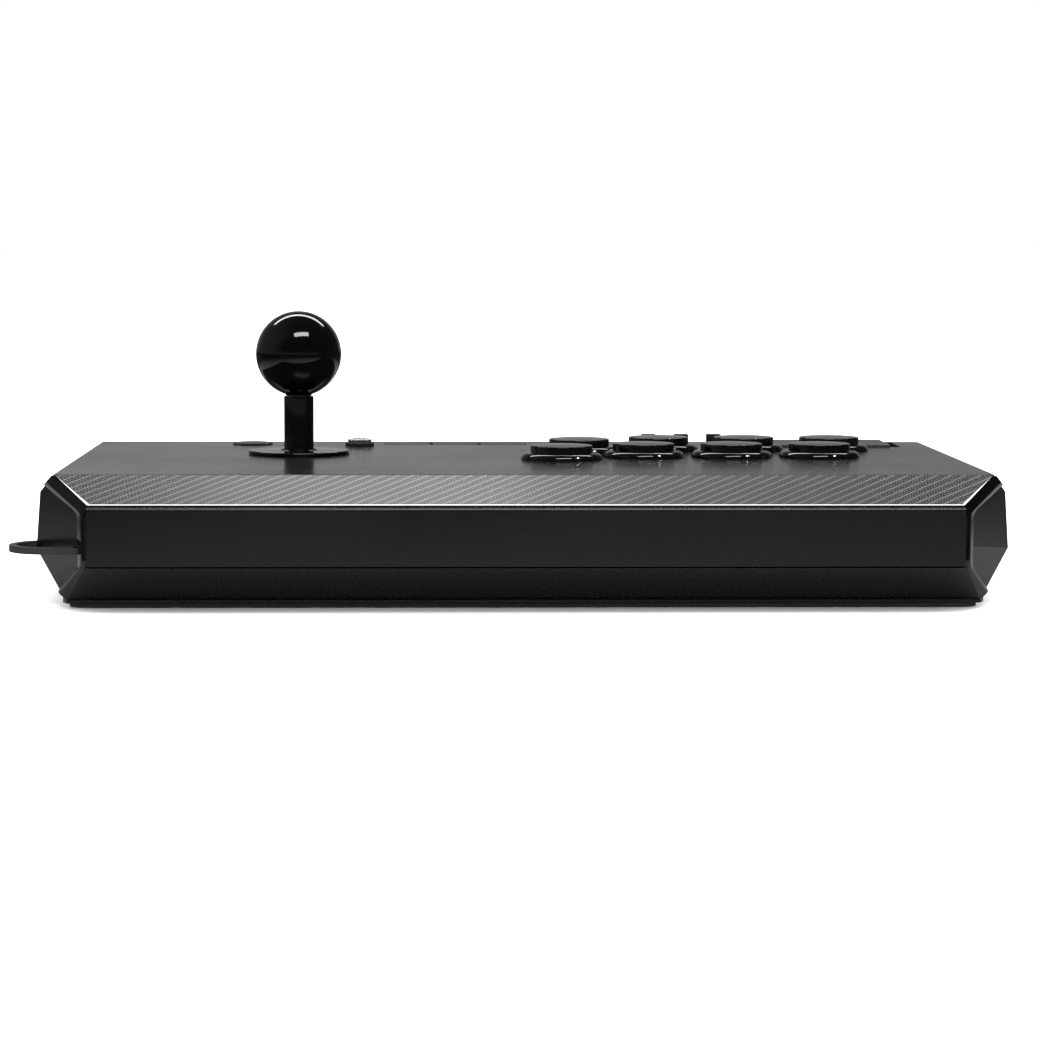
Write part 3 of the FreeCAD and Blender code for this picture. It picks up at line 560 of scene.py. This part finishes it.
def make_knob():
    """A black collar with a knurled bright cap."""
    node = "volume_knob"
    middle, radius, top, _ = measured(node)
    knob_height, stem = 2.9, 1.8
    panel = top - knob_height
    collar = ring([(0.4, panel - 6, 0), (stem, panel - 6, 0), (stem, panel + 0.1, 0),
                   (radius, panel + 0.1, 0.12), (radius, panel + 1.35, 0.35),
                   (0.4, panel + 1.35, 0)])
    settle(turned("volume_knob_collar", collar, middle, 72), node, "key_plastic")
    side = radius - 1.35
    cap = [(0.3, panel + 1.3), (side - 0.5, panel + 1.3), (side, panel + 1.42, 1),
           (side, panel + 1.8, 1), (side, top - 0.32, 1), (side - 0.35, top - 0.06),
           (side - 0.8, top), (side - 1.1, top - 0.12), (0.3, top - 0.12)]
    made = turned("volume_knob_cap", cap, middle, 240, teeth=40, bite=0.13)
    made.data.materials.append(MATERIALS["knob_metal"])
    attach(made, BODY_OF[node])


def make_home():
    """A round button with a raised lip and a dished face."""
    middle, radius, top, foot = measured("home_button")
    cap_height, stem = 3.3, 1.8
    profile = [(0, top - 0.35), (radius * 0.5, top - 0.3), (radius - 2.0, top - 0.18),
               (radius - 1.5, top - 0.02), (radius - 1.1, top), (radius - 0.3, top - 0.05),
               (radius, top - 0.35), (radius, top - cap_height + 0.2),
               (radius - 0.2, top - cap_height), (stem, top - cap_height), (stem, foot),
               (0, foot)]
    settle(turned("home_button_looks", profile, middle, 96), "home_button")


# CAD nodes shown with rounded edges, and each one's rounding in mm.
WORKED = (("top_panel", 0.25), ("front_trim", 0.25), ("front_panel", 0.9),
          ("front_skirt", 0.3), ("rear_panel", 0.5), ("carry_loop", 0.8), ("base_plate", 0.3),
          ("base_pad", 0.3), ("share_key", 0.3), ("options_key", 0.3), ("mode_key", 0.3),
          ("touchpad", 0.4), ("touchpad_tray", 0.2), ("usb_socket", 0.12))


def make_pieces():
    make_lever()
    for number in BUTTONS:
        make_button(number)
    make_ribs()
    make_knob()
    make_home()
    for node, edge in WORKED:
        worked(node, edge)
    for side in ("left", "right"):
        worked(side + "_side_cover", 0.4, sharp=9)
    for number in SLIDES:
        worked(f"mode_slide_{number}", 0.35)


def dress_the_rest():
    """Gives every CAD node that still shows its own slot's material."""
    for name, node in frame["nodes"].items():
        for holder in node.material_slots:
            holder.material = MATERIALS[SLOT_OF[name]]


# -------------------------------------------------------- floor, light, camera

def make_floor():
    """A white card.  In reflections it shows a painted reflection: mid grey near the object, and
    darker far away.
    """
    paint = Paint("floor_card")
    soft = paint.noise(3, 3)
    colour = paint.tint(soft, grey(0.90), grey(0.93))
    reach = paint.add("ShaderNodeVectorMath", {0: paint.place}, operation="LENGTH")
    # Painted reflection: glossy rays see a grey pool round the object that fades to near black
    # far off.
    reflected_pool = paint.span(reach.outputs["Value"], 0.20, 0.64, 0.24, 0.02)
    mirrored = paint.add("ShaderNodeLightPath").outputs["Is Glossy Ray"]
    colour = paint.tint(mirrored, colour, paint.tint(reflected_pool, grey(0.0), grey(1.0)))
    rough = paint.span(soft, 0.3, 0.7, 0.85, 0.95)
    paint.done(colour, rough, paint.bump(paint.noise(900, 3), 0.01 * MM),
               Specular_IOR_Level=0.1)
    half, gap = 14.0, 0.1 * MM
    floor = piece("floor", [(-half, -half, 0), (half, -half, 0), (half, half, 0),
                            (-half, half, 0)], [(0, 1, 2, 3)])
    floor.location.z = -gap
    floor.data.materials.append(paint.material)


def make_world():
    """White all round for sight and soft light, and a dim studio in reflections."""
    soft_light = 2.1
    world = bpy.data.worlds.new("studio")
    bpy.context.scene.world = world
    world.use_nodes = True
    sky = Nodes(world.node_tree)
    sky.tree.nodes.clear()
    way = sky.add("ShaderNodeTexCoord").outputs["Generated"]
    side, back, up = sky.add("ShaderNodeSeparateXYZ", {0: way}).outputs
    front = sky.span(up, 0.0, 0.18, 0.20, 0.02)
    sides = sky.span(side, -1.0, 0.0, 0.17, 0.03)
    behind = sky.sum("MULTIPLY", sky.span(up, 0.0, 0.75, 0.39, 0.16),
                     sky.span(side, -0.05, 0.17, 1.0, 0.80))
    mixed = sky.blend(sky.span(back, -0.75, -0.35, 1, 0), sides, front)
    mixed = sky.blend(sky.span(back, 0.72, 0.93, 0, 1), mixed, behind)
    path = sky.add("ShaderNodeLightPath").outputs
    level = sky.blend(path["Is Camera Ray"], soft_light, 1.0)
    level = sky.blend(path["Is Glossy Ray"], level, mixed)
    glow = sky.add("ShaderNodeBackground", {"Color": grey(1.0), "Strength": level})
    sky.add("ShaderNodeOutputWorld", {"Surface": glow.outputs[0]})
    world.cycles.sampling_method = "NONE"


def softbox(name, place, target, wide, tall, glow, soft=0.25, only=()):
    """An area lamp whose face has the radiance glow, for all pieces or only for some.

    soft is how much of it matt surfaces get."""
    lamp = bpy.data.lights.new(name, "AREA")
    lamp.shape = "RECTANGLE"
    lamp.size = wide
    lamp.size_y = tall
    lamp.energy = glow * math.pi * wide * tall
    lamp.diffuse_factor = soft
    made = bpy.data.objects.new(name, lamp)
    made.location = place
    made.rotation_euler = (Vector(target) - Vector(place)).to_track_quat("-Z", "Y").to_euler()
    bpy.context.scene.collection.objects.link(made)
    if only:
        lit = bpy.data.collections.new(name + "_lights")
        for shown in only:
            lit.objects.link(shown)
        made.light_linking.receiver_collection = lit


def make_lights():
    ball = Vector((-0.09, 0.02, 0.09))
    softbox("front_box", (0.09, -0.68, 1.17), ball, 0.80, 0.26, 13.0)
    softbox("back_bar", (-0.09, 1.02, 1.28), ball, 2.1, 0.22, 9.0, 0.15)
    bevel = (-0.03, -0.095, 0.046)
    softbox("bevel_box", (-0.06, 0.40, 1.25), bevel, 0.30, 0.36, 5.4, 0.2,
            [bpy.data.objects["front_trim_looks"]])
    buttons = [bpy.data.objects[f"button_{number}_{part}"] for number in BUTTONS
               for part in ("rim", "cap")]
    cluster = Vector((0.075, 0.02, 0.053))
    spark_way = Vector((0.498, -0.232, 0.838))
    softbox("button_spark", cluster + spark_way * 1.6, cluster, 0.13, 0.13, 240.0, 0.05,
            buttons)


def make_camera():
    """A long lens in front of the object and a little above it, looking slightly down."""
    place = (-0.04007, -1.21099, 0.14253)
    yaw, pitch, roll = (math.radians(angle) for angle in (1.919, 5.519, 0.170))
    lens = bpy.data.cameras.new("camera")
    lens.lens = 103.52
    lens.sensor_width = 36.0
    made = bpy.data.objects.new("camera", lens)
    ahead = Vector((math.sin(yaw) * math.cos(pitch), math.cos(yaw) * math.cos(pitch),
                    -math.sin(pitch)))
    right = ahead.cross(Vector((0, 0, 1))).normalized()
    up = right.cross(ahead)
    across = right * math.cos(roll) + up * math.sin(roll)
    above = up * math.cos(roll) - right * math.sin(roll)
    turn = Matrix((across, above, -ahead)).transposed().to_4x4()
    made.matrix_world = Matrix.Translation(place) @ turn
    bpy.context.scene.collection.objects.link(made)
    bpy.context.scene.camera = made


MATERIALS = make_materials()
make_camera()
make_world()
make_floor()
make_pieces()
dress_the_rest()
make_lights()
bpy.context.scene.view_settings.view_transform = "Standard"
